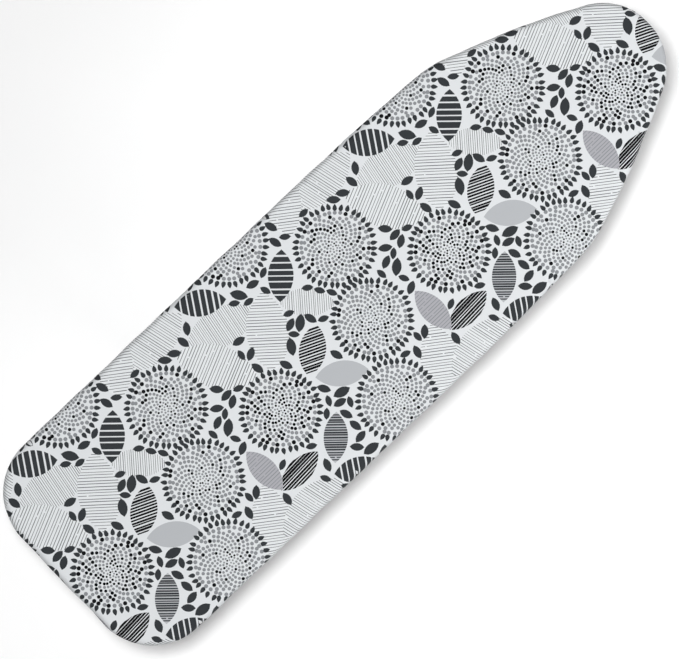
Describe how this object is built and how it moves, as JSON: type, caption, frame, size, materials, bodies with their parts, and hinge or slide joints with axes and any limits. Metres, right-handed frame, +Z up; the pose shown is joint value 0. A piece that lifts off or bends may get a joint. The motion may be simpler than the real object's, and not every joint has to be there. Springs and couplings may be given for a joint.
{
  "type": "ironing board",
  "caption": "Free-standing ironing board: a padded, patterned fabric cover over a perforated steel top, on folding scissor legs with a squeeze release lever.",
  "frame": {"origin": "on the floor, under the middle of the board's outline", "axes": "+X along the board towards its narrow nose, +Y across it, +Z up"},
  "size_m": [1.2, 0.374, 0.88],
  "materials": {
    "cover_fabric": "woven cotton with a printed grey, charcoal and black leaf and flower pattern",
    "hem_tape": "woven bias binding",
    "hem_elastic": "braided elastic",
    "pad_felt": "needled felt",
    "sheet_steel": "satin",
    "frame_paint": "satin",
    "leg_paint": "satin",
    "zinc_steel": "zinc plated",
    "spring_steel": "drawn wire",
    "grip_plastic": "fine moulded texture",
    "foot_rubber": "matte",
    "nylon": "smooth"
  },
  "bodies": {
    "top": {"cover": "cover_fabric", "hem_binding": "hem_tape", "hem_elastic": "hem_elastic", "pad": "pad_felt", "top_sheet": "sheet_steel", "rim_tube": "frame_paint", "rim_sleeve": "frame_paint", "cross_stay_1": "frame_paint", "cross_stay_2": "frame_paint", "cross_stay_3": "frame_paint", "cross_stay_4": "frame_paint", "cross_stay_5": "frame_paint", "slide_rail_left": "frame_paint", "slide_rail_right": "frame_paint", "rail_rivets": "zinc_steel", "pivot_bracket_left": "frame_paint", "pivot_bracket_right": "frame_paint", "bracket_rivets": "zinc_steel", "pivot_pins": "zinc_steel", "shaft_bracket_left": "frame_paint", "shaft_bracket_right": "frame_paint", "shaft_bracket_rivets": "zinc_steel", "return_spring": "spring_steel"},
    "lever": {"lever_shaft": "zinc_steel", "shaft_clips": "zinc_steel", "keeper_arm": "zinc_steel", "keeper_bar": "zinc_steel", "release_lever": "zinc_steel", "lever_grip": "grip_plastic"},
    "outer_leg": {"outer_leg_tube_left": "leg_paint", "outer_leg_tube_right": "leg_paint", "outer_leg_brace": "leg_paint", "outer_leg_plugs": "grip_plastic", "outer_foot_bar": "leg_paint", "outer_foot_cap_left": "foot_rubber", "outer_foot_cap_right": "foot_rubber", "pivot_bushes": "nylon", "centre_bolts": "zinc_steel", "centre_nuts": "zinc_steel", "centre_washers": "zinc_steel", "centre_spacers": "nylon"},
    "inner_leg": {"inner_leg_tube_left": "leg_paint", "inner_leg_tube_right": "leg_paint", "inner_leg_brace": "leg_paint", "inner_leg_plugs": "grip_plastic", "inner_foot_bar": "leg_paint", "inner_foot_cap_left": "foot_rubber", "inner_foot_cap_right": "foot_rubber", "centre_bushes": "nylon", "slider_rod": "zinc_steel", "rod_end_caps": "nylon", "slider_bushes": "nylon"}
  },
  "joints": [
    {"name": "outer_leg_fold", "type": "hinge", "parent": "top", "child": "outer_leg", "pos_m": [0.19575, 0, 0.8348], "axis": [0, 1, 0], "range_deg": [0, 56.5]},
    {"name": "inner_leg_fold", "type": "hinge", "parent": "outer_leg", "child": "inner_leg", "pos_m": [0.00127, 0, 0.52357], "axis": [0, -1, 0], "range_deg": [0, 113]},
    {"name": "lever_squeeze", "type": "hinge", "parent": "top", "child": "lever", "pos_m": [-0.14891, 0, 0.8488], "axis": [0, -1, 0], "range_deg": [0, 6], "stiffness_Nm_per_rad": 2, "springref_deg": -17.19}
  ],
  "couplings": [
    {"joint": "inner_leg_fold", "follows": "outer_leg_fold", "ratio": 2}
  ]
}
